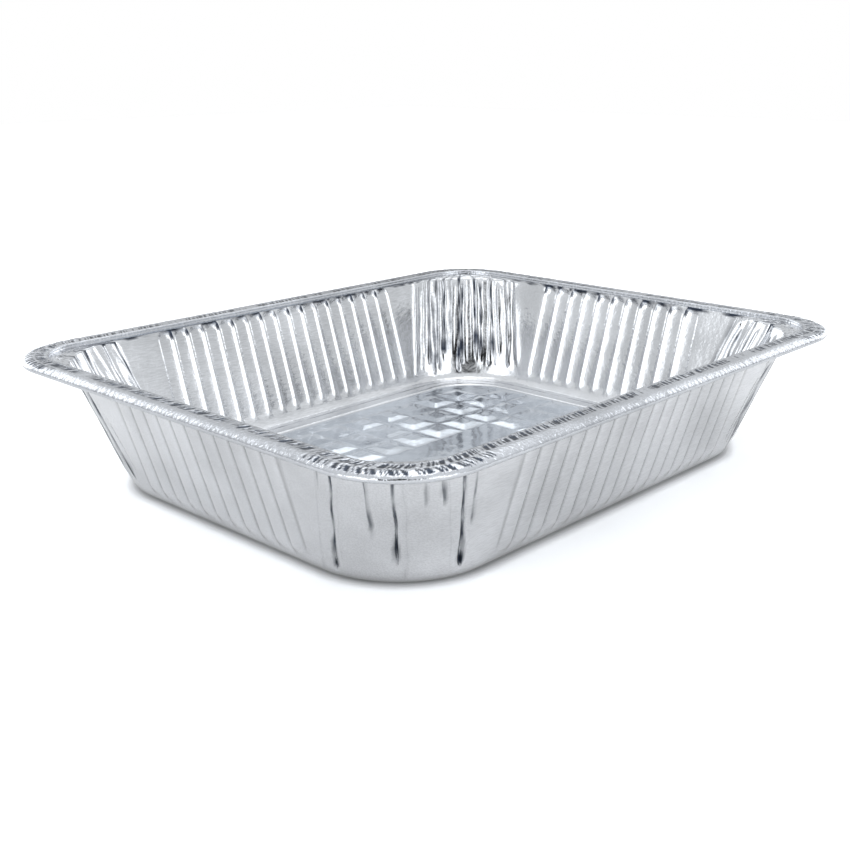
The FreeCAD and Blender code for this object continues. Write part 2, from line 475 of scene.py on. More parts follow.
def crease_list(rng, length, corner):
    """Creases of one corner in order: place, depth, half width, foot, head, slant and share of painted
    shade.
    """
    creases = []
    if corner == 0:
        creases += [(crease[0] / 90.0 * length,) + crease[1:] + (1.0,) for crease in front_creases]
    count = small_creases[corner]
    for k in range(count):
        place = (k + rng.uniform(*place_range)) / count * length
        depth = rng.uniform(*depth_range) * crease_strength[corner]
        foot = rng.uniform(*foot_range)
        head = rng.uniform(*head_range)
        shade_amount = smooth_step(rng.uniform(), *shade_amount_range)
        half_width = rng.uniform(*half_width_range)
        creases.append((place, depth, half_width, foot, head, rng.uniform(*slant_range), shade_amount))
    return sorted(creases)


def corner_places(creases, length):
    """Where the corner's upright lines of points run, close together at each crease."""
    places = list(np.arange(plain_step / 2.0, length, plain_step))
    for place, depth, *rest in creases:
        places += [place - core_step, place, place + core_step]
        if depth > shoulder_depth:
            places += [place - shoulder_step, place + shoulder_step]
    kept = []
    for place in sorted(places):
        in_corner = corner_margin < place < length - corner_margin
        if in_corner and (not kept or place - kept[-1] > least_gap):
            kept.append(place)
    return np.array(kept)


def limit_skew(sways, places):
    """Holds the sways of neighbouring creases close enough that no lines of points cross."""
    last = len(places) - 1
    onward = [(k, k - 1) for k in range(1, last + 1)]
    back = [(k, k + 1) for k in range(last - 1, -1, -1)]
    for one, other in onward + back:
        limit = most_skew * abs(places[one] - places[other])
        sways[one] = np.clip(sways[one], sways[other] - limit, sways[other] + limit)
    return np.array(sways)


def corner_folds(rng, base, z, creases, length, shade_size):
    """Inward depth, shade and sideways sway of a corner's creases, at each line and level."""
    depth = np.zeros((len(z), len(base)))
    dark = np.zeros_like(depth)
    sways = [np.zeros(len(z))]
    for place, deep, width, low, high, slant, shade_amount in creases:
        phase = rng.uniform(0.0, 2.0 * math.pi, 4)
        size = rng.uniform(*sway_range)
        waves = sum(share * np.sin(z / wave + turn) for (share, wave), turn in zip(sway_waves, phase))
        sways.append((size * waves + slant * (z - slant_pivot))[:, 0])
        side = base[None, :] - place
        steep = rng.uniform(*steep_range)
        gap = np.where(side > 0.0, side / width, -side / (width * steep))
        pulse = 0.8 + 0.2 * np.sin(z / pulse_length + phase[2])
        reach = smooth_step(z, low, low + foot_fade)
        reach = reach * (1.0 - smooth_step(z, high - head_fade[0], high + head_fade[1]))
        depth += deep * pulse * reach * np.clip(1.0 - gap, 0.0, 1.0)
        opened, closing, closed = (low + rise for rise in open_stretch)
        open_foot = smooth_step(z, low, opened) * (1.0 - smooth_step(z, closing, closed))
        open_width = open_width_by_depth * deep * open_foot
        wide = shade_size * (line_width + line_width_by_depth * deep + open_width)
        ragged = np.clip(0.8 + 0.4 * np.sin(z / ragged_length + phase[3]), 0.0, 1.0)
        # Painted shade line along the crease, widest just above its foot
        core = np.clip(1.5 - np.abs(side) / wide, 0.0, 1.0)
        dark = np.maximum(dark, core * reach * ragged * shade_amount * min(1.0, deep * shade_share))
    sways.append(np.zeros(len(z)))
    places = [0.0] + [crease[0] for crease in creases] + [length]
    sways = limit_skew(sways, places)
    sway = np.array([np.interp(base, places, sways[:, k]) for k in range(len(z))])
    fade = np.clip(np.minimum(base, length - base) / sway_margin, 0.0, 1.0)
    return depth, dark, sway * fade[None, :]


def buckles(rng, arc, z, strength):
    """Broad shallow waves across a corner."""
    wave = np.zeros_like(arc)
    for k in range(buckle_waves):
        length = rng.uniform(*buckle_lengths)
        slope = rng.uniform(-buckle_slope, buckle_slope)
        phase = rng.uniform(0.0, 2.0 * math.pi)
        wave += np.sin((arc + slope * z) / length * 2.0 * math.pi + phase) * length / buckle_lengths[1]
    return strength * wave * smooth_step(z, *buckle_start)


def line_shade(run, level, waves):
    return np.clip(level + sum(size * np.sin(run / wave + phase) for size, wave, phase in waves), 0.0, 1.0)


def straight_part(levels, beads, pitch, axis, sign, direction):
    """One wall: axis 0 runs along X, sign is the side, direction the way round."""
    place, share = np.array(one_wall(beads, pitch)).T[:, None, :]
    place = place * direction
    run = place + np.sign(place) * share * (levels.half[axis] - levels.radius - np.abs(place))
    across = levels.half[1 - axis] * sign + 0.0 * run
    height = levels.z + 0.0 * run
    xyz = (run, across, height) if axis == 0 else (across, run, height)
    normal = np.array((0.0, sign, -wall_lean) if axis == 0 else (sign, 0.0, -wall_lean))
    outward = normal / math.hypot(1.0, wall_lean)
    return {
        "points": np.stack(xyz, axis=-1) * mm,
        "along": run * mm,
        "field": np.full_like(run, beads * pitch / 2.0) * mm,
        "outward": np.broadcast_to(outward, run.shape + (3,)),
        # Painted shade line along the wall's foot
        "crease": levels.foot_shade * line_shade(run, *foot_line_shade),
    }


def corner_part(levels, rng, radius, number, from_long):
    """One corner, with its lines of points in the order in which the wall goes round."""
    z, shelf = levels.z, levels.shelf
    length = math.pi / 2.0 * radius
    creases = crease_list(rng, length, number)
    base = corner_places(creases, length)
    inward, dark, sway = corner_folds(rng, base, z, creases, length, shade_width[number])
    arc = base[None, :] + sway
    inward = inward + buckles(rng, arc, z + 0.0 * arc, buckle_strength[number])
    edge = smooth_step(base, 0.0, edge_fade) * (1.0 - smooth_step(base, length - edge_fade, length))
    inward = inward * edge[None, :] * (1.0 - smooth_step(z, crease_top, neck_height))
    ripple = math.pi * shelf_ripples * shelf + ripple_sway * np.sin(arc / ripple_sway_length)
    folded = np.abs(np.sin(ripple))
    rippled = np.sin(math.pi * shelf) * np.sin(math.pi * base / length)[None, :]
    height = z + ripple_height * (folded - 0.5) * rippled - shelf_dent * inward * shelf * (1.0 - shelf)
    # Painted shade lines in the troughs of the shelf ripples
    lines = np.clip(1.0 - folded / ripple_line, 0.0, 1.0) * rippled * line_shade(arc, *ripple_line_shade)
    dark = np.maximum(dark * (1.0 - 0.5 * shelf), lines)
    # Painted shade line along the corner's foot
    dark = np.maximum(dark, levels.foot_shade * line_shade(arc, *foot_line_shade))
    reach = levels.radius - inward * (1.0 - shelf)
    turn = (1.0 - arc / length) * math.pi / 2.0
    sign_x, sign_y = corner_signs[number]
    x = sign_x * (levels.half[0] - levels.radius + reach * np.cos(turn))
    y = sign_y * (levels.half[1] - levels.radius + reach * np.sin(turn))
    part = {
        "points": np.stack((x, y, height), axis=-1) * mm,
        "along": arc * mm,
        "field": np.zeros_like(arc),
        "outward": np.zeros(arc.shape + (3,)),
        "crease": dark,
    }
    return part if from_long else {name: values[:, ::-1] for name, values in part.items()}


def wall_lattice(sizes):
    """Points of the smooth walls with creased corners, and what the bead tree needs at each point."""
    levels = Levels(sizes)
    radius = sizes.corner_radius / mm
    pitch = sizes.bead_pitch / mm
    rng = np.random.default_rng(sizes.crease_seed)
    parts = []
    for axis, beads, sign, direction, corner in (
        (0, sizes.long_beads, -1.0, 1.0, 1),
        (1, sizes.short_beads, 1.0, 1.0, 2),
        (0, sizes.long_beads, 1.0, -1.0, 3),
        (1, sizes.short_beads, -1.0, -1.0, 0),
    ):
        parts.append(straight_part(levels, beads, pitch, axis, sign, direction))
        parts.append(corner_part(levels, rng, radius, corner, axis == 0))
    return {name: np.concatenate([part[name] for part in parts], axis=1) for name in parts[0]}


# Notch beside a bead's head: drop below the head, shares of the half width, slant, flattening, soft edge
notch_drop = 3.0 * mm
notch_side = 0.86
notch_slant = 0.35
notch_flattening = 0.38
notch_edge = (0.2 * mm, 1.3 * mm)
notch_wobble = 3.7
# Strength of the painted shade in a notch
notch_shade = 2.4

# Patchy painted shade line under the rim, and painted shade outside in the grooves from this share of the
# half width between these heights
patch_scale = 90.0
patch_levels = (0.45, 0.55)
under_rim = (57.2 * mm, 58.2 * mm)
groove_start = 0.76
groove_foot = (6.0 * mm, 12.0 * mm)
groove_head = (54.0 * mm, 58.0 * mm)
touch = 1.0 * mm


def bead_tree():
    """Presses upright beads with round ends outward in the walls, with a pinched notch at each head."""
    w, given = sheet_tree("Press beads", ("Pitch", "Width", "Crest", "Depth", "Foot", "Head", "Notch"))
    along = w.attribute("along")
    field = w.attribute("field")
    outward = w.attribute("outward", "FLOAT_VECTOR")
    position = w.add("GeometryNodeInputPosition").outputs[0]
    height = w.add("ShaderNodeSeparateXYZ", {0: position}).outputs["Z"]
    half_pitch = w.times(given["Pitch"], 0.5)
    half_width = w.times(given["Width"], 0.5)
    half_crest = w.times(given["Crest"], 0.5)
    place = w.math("WRAP", along, half_pitch, w.times(half_pitch, -1.0))
    below = w.minus(w.plus(given["Foot"], half_width), height)
    above = w.minus(height, w.minus(given["Head"], half_width))
    distance = w.diagonal(place, w.larger(below, above, 0.0))
    bead = w.ramp(distance, half_crest, half_width, 1.0, 0.0)
    from_middle = w.math("ABSOLUTE", along)
    in_field = w.math("LESS_THAN", from_middle, field)
    near_field = w.math("LESS_THAN", from_middle, w.plus(field, touch))
    on_side = w.math("GREATER_THAN", field, touch)

    number = w.math("ROUND", w.math("DIVIDE", along, given["Pitch"]))
    wobble = w.noise(number, notch_wobble, 0.0, given["Seed"])
    notch_rise = w.minus(height, w.minus(given["Head"], notch_drop))
    notch_line = w.minus(w.times(half_width, notch_side), w.times(notch_rise, notch_slant))
    notch_far = w.diagonal(w.minus(place, notch_line), w.times(notch_rise, notch_flattening))
    notch = w.times(w.ramp(notch_far, *notch_edge, 1.0, 0.0), given["Notch"], wobble)
    pressed = w.times(w.minus(w.times(bead, given["Depth"]), notch), in_field)
    offset = w.vectors("SCALE", {0: outward, "Scale": pressed}).outputs[0]
    walls = moved(w, given["Geometry"], offset)

    # Patchy painted shade line just under the rim
    patchy = w.ramp(w.noise(along, patch_scale, 2.0, given["Seed"]), *patch_levels, 0.0, 1.0)
    under_rim_shade = w.times(w.ramp(height, *under_rim, 0.0, 1.0), patchy, on_side)
    # Painted shade in the notch beside each bead's head
    notch_painted_shade = w.times(w.math("DIVIDE", notch, given["Notch"]), in_field, notch_shade)
    shade = w.math("MAXIMUM", w.attribute("crease"), w.larger(under_rim_shade, notch_painted_shade), clamp=True)
    # Painted shade in the grooves between beads, used only on the outside
    beside = w.ramp(distance, w.times(half_width, groove_start), half_pitch, 0.0, 1.0)
    on_wall = w.times(w.ramp(height, *groove_foot, 0.0, 1.0), w.ramp(height, *groove_head, 1.0, 0.0))
    groove = w.times(beside, near_field, on_wall, on_side)
    walls = shaded(w, walls, shade)
    return end_tree(w, shaded(w, walls, groove, "groove"), given["Material"])


bead_foot = 4.6 * mm
bead_head = 59.2 * mm
notch_depth = 0.9 * mm


class FOIL_TRAY_OT_walls(bpy.types.Operator):
    """Make the beaded walls with their creased corners"""

    bl_idname = "foil_tray.walls"
    bl_label = "Walls"

    def execute(self, context):
        sizes = context.scene.foil_tray_walls
        mesh = lattice_mesh("walls_sheet", wall_lattice(sizes))
        values = {
            "Pitch": sizes.bead_pitch,
            "Width": sizes.bead_width,
            "Crest": sizes.bead_crest,
            "Depth": sizes.bead_depth,
            "Foot": bead_foot,
            "Head": bead_head,
            "Notch": notch_depth,
            "Seed": float(sizes.crease_seed),
            "Material": foil_material("foil_walls", context.scene.foil_tray_look, *walls_finish),
        }
        press_piece("tray_walls", mesh, bead_tree(), values, sheet * mm)
        return {"FINISHED"}


# Floor, in millimetres

# Mesh: points across one pad, insets of the border loops, gap to the grid in steps, lift in sheets
pad_points = 17
border_insets = (-0.3, 0.0, 0.5, 1.0, plateau_slope)
grid_gap = 0.6
floor_lift = 1.02

# Low ridges inside the plateau's edge: height, distance in and width
floor_ridges = ((0.25, 4.4, 0.8), (0.18, 7.2, 0.7))

# Pads: width of top and base in pitches, columns and rows from the middle, those of the panel left smooth
pad_top_share = 0.4
pad_base_share = 0.97
pads_half_x = 6
pads_half_y = 4
panel_half_x = 3
panel_half_y = 1

# Uneven pressing: noise for each pad and its share of the rise, and small dents all over
pad_luck_scale = 0.63
pad_luck = (0.3, 0.7, 0.45, 1.3)
dent_scale = 55.0
dent_size = 0.4 * mm
floor_seed = 3.0


def rounded_loop(half_x, half_y, radius, step):
    """Points of a rounded rectangle, anticlockwise from above."""
    points = []
    facets = max(4, int(radius * math.pi / 2.0 / step))
    for start, sign_x, sign_y in ((0.0, 1, 1), (90.0, -1, 1), (180.0, -1, -1), (270.0, 1, -1)):
        centre = (sign_x * (half_x - radius), sign_y * (half_y - radius))
        for k in range(facets + 1):
            turn = math.radians(start + 90.0 * k / facets)
            points.append((centre[0] + radius * math.cos(turn), centre[1] + radius * math.sin(turn)))
    loop = []
    for a, b in zip(points, points[1:] + points[:1]):
        parts = max(1, int(round(math.dist(a, b) / step)))
        for k in range(parts):
            loop.append((a[0] + (b[0] - a[0]) * k / parts, a[1] + (b[1] - a[1]) * k / parts))
    return loop


def inside_distance(x, y, half_x, half_y, radius):
    """Distance inward from a rounded rectangle, negative outside it."""
    qx = np.abs(x) - half_x + radius
    qy = np.abs(y) - half_y + radius
    outer = np.hypot(np.maximum(qx, 0.0), np.maximum(qy, 0.0))
    return radius - outer - np.minimum(np.maximum(qx, qy), 0.0)


def floor_mesh(walls, sizes):
    """Raised floor without its pads: loops along its sloping edge and a grid inside them."""
    half_x = walls.foot_x / mm - plateau_inset
    half_y = walls.foot_y / mm - plateau_inset
    radius = walls.corner_radius / mm - plateau_inset
    step = sizes.pad_pitch / mm / pad_points
    loops = [rounded_loop(half_x - inset, half_y - inset, radius - inset, step) for inset in border_insets]
    count_x = int(half_x / step) + 1
    count_y = int(half_y / step) + 1
    x, y = np.meshgrid(np.arange(-count_x, count_x + 1) * step, np.arange(-count_y, count_y + 1) * step)
    keep = inside_distance(x, y, half_x, half_y, radius) > plateau_slope + grid_gap * step
    points = sum(loops, []) + list(zip(x[keep].tolist(), y[keep].tolist()))
    border = list(range(len(loops[0])))
    result = delaunay_2d_cdt([Vector(point) for point in points], [], [border], 1, 1e-5)
    flat = np.array([tuple(point) for point in result[0]])
    inward = inside_distance(flat[:, 0], flat[:, 1], half_x, half_y, radius)
    rise = smooth_step(inward, 0.0, plateau_slope) * sizes.plateau_rise / mm
    ridges = sum(size * np.exp(-((inward - place) / width) ** 2) for size, place, width in floor_ridges)
    xyz = np.column_stack([flat, sheet * floor_lift + rise + ridges]) * mm
    mesh = bpy.data.meshes.new("floor_sheet")
    mesh.from_pydata(xyz.tolist(), [], [list(face) for face in result[2]])
    mesh.update()
    return mesh


def pad_tree():
    """Raises square pads with sloping sides all over the floor but its middle panel and corners."""
    w, given = sheet_tree("Emboss pads", (
        "Pitch", "Rise", "Base", "Top", "Unevenness",
        "Half columns", "Half rows", "Panel half columns", "Panel half rows",
    ))
    position = w.add("GeometryNodeInputPosition").outputs[0]
    xyz = w.add("ShaderNodeSeparateXYZ", {0: position}).outputs
    whole, from_middle, past_field, past_panel = [], [], [], []
    for axis, half_field, half_panel in (
        ("X", given["Half columns"], given["Panel half columns"]),
        ("Y", given["Half rows"], given["Panel half rows"]),
    ):
        place = w.math("DIVIDE", xyz[axis], given["Pitch"])
        number = w.math("FLOOR", place)
        pad = w.plus(w.math("ABSOLUTE", w.plus(number, 0.5)), 0.5)
        whole.append(number)
        from_middle.append(w.math("ABSOLUTE", w.minus(w.math("FRACT", place), 0.5)))
        past_field.append(w.minus(pad, half_field))
        past_panel.append(w.minus(pad, half_panel))
    half_top = w.times(given["Top"], 0.5)
    half_base = w.times(given["Base"], 0.5)
    pyramid = w.ramp(w.larger(*from_middle), half_top, half_base, 1.0, 0.0, smooth=False)
    in_field = w.math("LESS_THAN", w.larger(*past_field), 0.1)
    at_corner = w.math("GREATER_THAN", w.math("MINIMUM", *past_field), -0.1)
    off_panel = w.math("GREATER_THAN", w.larger(*past_panel), 0.1)
    wanted = w.times(w.math("SUBTRACT", in_field, at_corner, clamp=True), off_panel)
    which = w.add("ShaderNodeCombineXYZ", {0: whole[0], 1: whole[1]}).outputs[0]
    luck = w.noise(which, pad_luck_scale, 1.0, given["Seed"], "4D")
    rise = w.times(given["Rise"], w.ramp(luck, *pad_luck))
    dented = w.noise(position, dent_scale, 2.0, given["Seed"], "4D")
    dent = w.times(w.minus(dented, 0.5), given["Unevenness"])
    offset = w.add("ShaderNodeCombineXYZ", {"Z": w.plus(w.times(pyramid, wanted, rise), dent)}).outputs[0]
    return end_tree(w, moved(w, given["Geometry"], offset), given["Material"])


class FOIL_TRAY_OT_floor(bpy.types.Operator):
    """Make the raised floor with its square pads"""

    bl_idname = "foil_tray.floor"
    bl_label = "Floor"

    def execute(self, context):
        sizes = context.scene.foil_tray_floor
        mesh = floor_mesh(context.scene.foil_tray_walls, sizes)
        values = {
            "Pitch": sizes.pad_pitch,
            "Rise": sizes.pad_rise,
            "Base": pad_base_share,
            "Top": pad_top_share,
            "Half columns": float(pads_half_x),
            "Half rows": float(pads_half_y),
            "Panel half columns": float(panel_half_x),
            "Panel half rows": float(panel_half_y),
            "Unevenness": dent_size,
            "Seed": floor_seed,
            "Material": foil_material("foil_floor", context.scene.foil_tray_look, *floor_finish_and_shade),
        }
        press_piece("tray_floor", mesh, pad_tree(), values, sheet * mm)
        return {"FINISHED"}


# Rim, in millimetres

# Step along it, thickness, and the forms of its section, with the flange's underside as reach and drop
rim_step = 0.45
rim_sheet = 0.5
rim_drop = 2.3
curl_radius = 1.2
flange_reach = 8.2
flange_start = 1.6
flange_below_top = 0.35
neck_lap = 0.6
neck_faces = (0.12, -0.25)
neck_drops = (0.9, 1.4)
bend_reach = 0.82
bend_radius = 0.8
underside = ((rim_reach - 2.6, 1.3), (7.0, rim_sheet + 0.1), (3.5, rim_sheet), (0.9, rim_sheet))

# Reach where the way round is measured, and how far the corners' crimps run out along the sides
middle_reach = 5.0
corner_run_out = 22.0


def rim_profile():
    """Closed section of the rim: reach from the neck, height, and how much of the crimps shows there."""
    top = cad_high.z / mm - flange_below_top
    shoulder = flange_reach - 1.0
    foot = neck_height - neck_lap
    points = [(neck_faces[0], foot, 0.0), (neck_faces[0], top - neck_drops[0], 0.0)]
    for turn in np.radians([150.0, 120.0, 90.0]):
        drop = bend_radius * (1.0 - math.sin(turn))
        points.append((bend_reach + bend_radius * math.cos(turn), top - drop, 0.3))
    for reach in np.linspace(flange_start, shoulder, 8):
        points.append((reach, top, 1.0))
    for turn in np.radians(np.linspace(90.0, 0.0, 8))[1:]:
        reach = shoulder + (rim_reach - shoulder) * math.cos(turn)
        points.append((reach, top - rim_drop * (1.0 - math.sin(turn)), 1.0))
    outer = curl_radius + rim_sheet / 2.0
    for turn in np.radians(np.linspace(0.0, -180.0, 7))[1:]:
        reach = rim_reach - outer + outer * math.cos(turn)
        points.append((reach, top - rim_drop + outer * math.sin(turn), 0.25))
    points += [(reach, top - drop, 0.0) for reach, drop in underside]
    return points + [(neck_faces[1], top - neck_drops[1], 0.0), (neck_faces[1], foot, 0.0)]


def rim_stations(centre_x, centre_y, arc):
    """Sections once round the rim: centre, heading, way travelled and distance from a side's end."""
    stations = []
    travelled = 0.0
    for x, y, heading, length, way_x, way_y in (
        (centre_x, -centre_y, 0.0, 2.0 * centre_y, 0.0, 1.0),
        (centre_x, centre_y, 90.0, 2.0 * centre_x, -1.0, 0.0),
        (-centre_x, centre_y, 180.0, 2.0 * centre_y, 0.0, -1.0),
        (-centre_x, -centre_y, 270.0, 2.0 * centre_x, 1.0, 0.0),
    ):
        count = int(length / rim_step)
        for k in range(count):
            run = length * k / count
            from_end = min(run, length - run)
            stations.append((x + way_x * run, y + way_y * run, heading, travelled + run, from_end))
        travelled += length
        end_x = x + way_x * length
        end_y = y + way_y * length
        count = int(arc / rim_step)
        for k in range(count):
            turn = heading + 90.0 * k / count
            stations.append((end_x, end_y, turn, travelled + arc * k / count, -1.0))
        travelled += arc
    return np.array(stations)


def rim_lattice():
    """Points of the rim hoop from the underside up, and what the crimp tree needs at each point."""
    inner_radius = rim_corner_radius - rim_reach
    centre_x = cad_high.x / mm - rim_reach - inner_radius
    centre_y = cad_high.y / mm - rim_reach - inner_radius
    arc = (inner_radius + middle_reach) * math.pi / 2.0
    centre_x, centre_y, heading, along, from_end = rim_stations(centre_x, centre_y, arc).T[:, None, :]
    reach, z, shown = np.array(rim_profile()[::-1]).T[:, :, None]
    heading = np.radians(heading)
    x = centre_x + (inner_radius + reach) * np.cos(heading)
    y = centre_y + (inner_radius + reach) * np.sin(heading)
    all_over = np.zeros_like(x)
    return {
        "points": np.stack([x, y, z + all_over], axis=-1) * mm,
        "along": (along + all_over) * mm,
        "reach": (reach + all_over) * mm,
        "shown": shown + all_over,
        "cornered": 1.0 - smooth_step(from_end, 0.0, corner_run_out) + all_over,
    }


# Rows of crimps: reach from and to, seed shift and way of slant; the outer one only near the corners
inner_row = (1.4 * mm, 6.0 * mm, 0.0, 1.0)
outer_row = (6.6 * mm, 11.2 * mm, 20.0, -0.6)
row_edge = 0.8 * mm
outer_near_corner = (0.3, 0.9, 0.0, 1.0)

# Scales of the noises along the rim, and what their values are turned into
drift_scale = 160.0
drift_pitches = 3.0
group_scale = 38.0
group_seed = 5.0
group_levels = (0.41, 0.47, 0.15, 1.0)
all_near_corner = (0.2, 0.9, 0.0, 1.0)
uneven_scale = 330.0
uneven_seed = 9.0
uneven_levels = (0.3, 0.55, 0.25, 1.4)
rough_scale = 260.0
rough_height = 0.9 * mm
rough_near_corner = (0.0, 1.0, 0.3, 1.0)
# Ramp from crimp depth to painted shade in the slits
crimp_shade = (0.08, 0.18, 0.0, 1.0)
crimp_width = 0.75 * mm
crimp_slant = 0.45


def crimp_tree():
    """Folds short slanted crimps across the flange, dense in the corners and in groups on the sides."""
    w, given = sheet_tree("Crimp rim", ("Pitch", "Width", "Depth", "Slant"))
    along = w.attribute("along")
    reach = w.attribute("reach")
    shown = w.attribute("shown")
    cornered = w.attribute("cornered")

    def row(low, high, shift, lean):
        """One row of crimps between two reaches of the flange."""
        slanted = w.plus(along, w.times(reach, w.times(given["Slant"], lean)))
        seed = w.plus(given["Seed"], shift)
        drift = w.times(w.minus(w.noise(slanted, drift_scale, 2.0, seed), 0.5), drift_pitches)
        phase = w.math("FRACT", w.plus(w.math("DIVIDE", slanted, given["Pitch"]), drift))
        gap = w.times(w.math("ABSOLUTE", w.minus(phase, 0.5)), given["Pitch"])
        slit = w.ramp(gap, 0.0, given["Width"], 1.0, 0.0, smooth=False)
        groups = w.ramp(w.noise(along, group_scale, 1.0, w.plus(seed, group_seed)), *group_levels)
        strength = w.larger(w.ramp(cornered, *all_near_corner), groups)
        uneven = w.ramp(w.noise(slanted, uneven_scale, 0.0, w.plus(seed, uneven_seed)), *uneven_levels)
        inside = w.ramp(reach, low, low + row_edge, 0.0, 1.0)
        outside = w.ramp(reach, high - row_edge, high, 1.0, 0.0)
        return w.times(slit, strength, uneven, inside, outside)

    outer = w.times(row(*outer_row), w.ramp(cornered, *outer_near_corner))
    crimps = w.times(w.plus(row(*inner_row), outer), shown)
    position = w.add("GeometryNodeInputPosition").outputs[0]
    rough = w.minus(w.noise(position, rough_scale, 2.0, given["Seed"], "4D"), 0.5)
    uneven = w.times(rough, rough_height, shown, w.ramp(cornered, *rough_near_corner))
    drop = w.minus(uneven, w.times(crimps, given["Depth"]))
    offset = w.add("ShaderNodeCombineXYZ", {"Z": drop}).outputs[0]
    rim = moved(w, given["Geometry"], offset)
    # Painted shade in the crimps' slits
    return end_tree(w, shaded(w, rim, w.ramp(crimps, *crimp_shade)), given["Material"])


class FOIL_TRAY_OT_rim(bpy.types.Operator):
    """Make the rolled rim with its crimped flange"""

    bl_idname = "foil_tray.rim"
    bl_label = "Rim"

    def execute(self, context):
        sizes = context.scene.foil_tray_rim
        mesh = lattice_mesh("rim_sheet", rim_lattice(), closed_up=True)
        values = {
            "Pitch": sizes.crimp_pitch,
            "Width": crimp_width,
            "Depth": sizes.crimp_depth,
            "Slant": crimp_slant,
            "Seed": float(sizes.crimp_seed),
            "Material": foil_material("foil_rim", context.scene.foil_tray_look, *rim_finish_and_shade),
        }
        press_piece("tray_rim", mesh, crimp_tree(), values, 0.0)
        return {"FINISHED"}


# Finish of each piece: scale and relief of its small dents, change of its roughness, and tone of its
# colour, where the floor's darker, bluer tone and the rim's darker tone are painted shade on the one foil
walls_finish = (360.0, 0.15, 0.0, (1.0, 1.0, 1.0))
floor_finish_and_shade = (130.0, 0.12, -0.06, (0.88, 0.92, 0.96))
rim_finish_and_shade = (620.0, 0.3, -0.03, (0.8, 0.81, 0.83))
# Darkening of the painted shade outside in the grooves between beads
groove_shade = 0.32

# Grain of rolled foil: scales of its noises, stretch of its rolling lines, and what the noises change
cloud_scale = 26.0
line_scale = 220.0
line_stretch = (1.0, 9.0, 9.0)
cloud_tones = (0.3, 0.7, 0.86, 1.07)
line_tones = (0.3, 0.7, -0.07, 0.05)
cloud_roughness = (0.3, 0.7, -0.03, 0.06)
line_relief = 0.006


def grain_group():
    """Uneven tone, roughness and fine relief of rolled foil."""
    name = "Rolled foil"
    if name in bpy.data.node_groups:
        return bpy.data.node_groups[name]
    tree = bpy.data.node_groups.new(name, "ShaderNodeTree")
    for way, label, kind in (
        ("INPUT", "Base", "Color"),
        ("INPUT", "Roughness", "Float"),
        ("INPUT", "Scale", "Float"),
        ("INPUT", "Relief", "Float"),
        ("INPUT", "Wear", "Float"),
        ("OUTPUT", "Colour", "Color"),
        ("OUTPUT", "Roughness", "Float"),
        ("OUTPUT", "Height", "Float"),
    ):
        tree.interface.new_socket(name=label, in_out=way, socket_type="NodeSocket" + kind)
    w = Wiring(tree)
    given = w.add("NodeGroupInput").outputs
    place = w.add("ShaderNodeTexCoord").outputs["Object"]
    lined = w.add("ShaderNodeMapping", {"Vector": place, "Scale": line_stretch}).outputs[0]

    def noise(where, scale, detail):
        return w.add("ShaderNodeTexNoise", {"Vector": where, "Scale": scale, "Detail": detail}).outputs[0]

    lines = noise(lined, line_scale, 2.0)
    clouds = noise(place, cloud_scale, 3.0)
    dents = noise(place, given["Scale"], 2.5)
    tone = w.plus(w.ramp(clouds, *cloud_tones), w.ramp(lines, *line_tones))
    w.add("NodeGroupOutput", {
        "Colour": w.vectors("SCALE", {0: given["Base"], "Scale": tone}).outputs[0],
        "Roughness": w.plus(given["Roughness"], w.ramp(clouds, *cloud_roughness), given["Wear"]),
        "Height": w.plus(w.times(dents, given["Relief"]), w.times(lines, line_relief)),
    })
    return tree


def foil_material(name, look, scale, relief, wear, tone):
    """Bright aluminium foil, with painted shade in its creases and more painted shade outside in the
    grooves between beads.
    """
    material = bpy.data.materials.new(name)
    material.use_nodes = True
    material.node_tree.nodes.clear()
    w = Wiring(material.node_tree)
    # The tone makes the floor and rim darker copies of the foil, as painted shade
    base = tuple(part * share for part, share in zip(look.colour, tone)) + (1.0,)
    values = {"Base": base, "Roughness": look.roughness, "Scale": scale, "Relief": relief, "Wear": wear}
    grain = w.add("ShaderNodeGroup", values, node_tree=grain_group())
    # Crease attribute: share of painted shade, mixed towards the dark crease colour
    crease = w.add("ShaderNodeAttribute", attribute_name="crease").outputs["Fac"]
    groove = w.add("ShaderNodeAttribute", attribute_name="groove").outputs["Fac"]
    creased = w.add("ShaderNodeMix", data_type="RGBA")
    w.feed(creased.inputs["Factor"], crease)
    w.feed(creased.inputs[6], grain.outputs["Colour"])
    w.feed(creased.inputs[7], tuple(look.crease_shade_colour) + (1.0,))
    # Painted shade outside in the grooves between beads
    coordinates = w.add("ShaderNodeTexCoord").outputs
    level = w.vectors("MULTIPLY", {0: coordinates["Object"], 1: (1.0, 1.0, 0.0)}).outputs[0]
    facing = w.vectors("DOT_PRODUCT", {0: level, 1: coordinates["Normal"]}).outputs["Value"]
    outside = w.math("GREATER_THAN", facing, 0.0)
    groove_darkening = w.minus(1.0, w.times(groove, outside, groove_shade))
    colour = w.vectors("SCALE", {0: creased.outputs[2], "Scale": groove_darkening}).outputs[0]
    bump = w.add("ShaderNodeBump", {"Strength": 1.0, "Distance": mm, "Height": grain.outputs["Height"]})
    foil = w.add("ShaderNodeBsdfPrincipled", {
        "Base Color": colour,
        "Metallic": 1.0,
        "Roughness": grain.outputs["Roughness"],
        "Normal": bump.outputs[0],
    })
    w.add("ShaderNodeOutputMaterial", {"Surface": foil.outputs[0]})
    return material


# Stage: white table, soft light from all round and the camera

view_azimuth = -46.452
view_elevation = 17.563
view_roll = -0.259
view_distance = 529.959 * mm
view_target = (-35.361 * mm, -22.265 * mm, 30.0 * mm)
view_lens = 49.275
sensor_width = 36.0
view_nearest = 0.01
view_farthest = 50.0


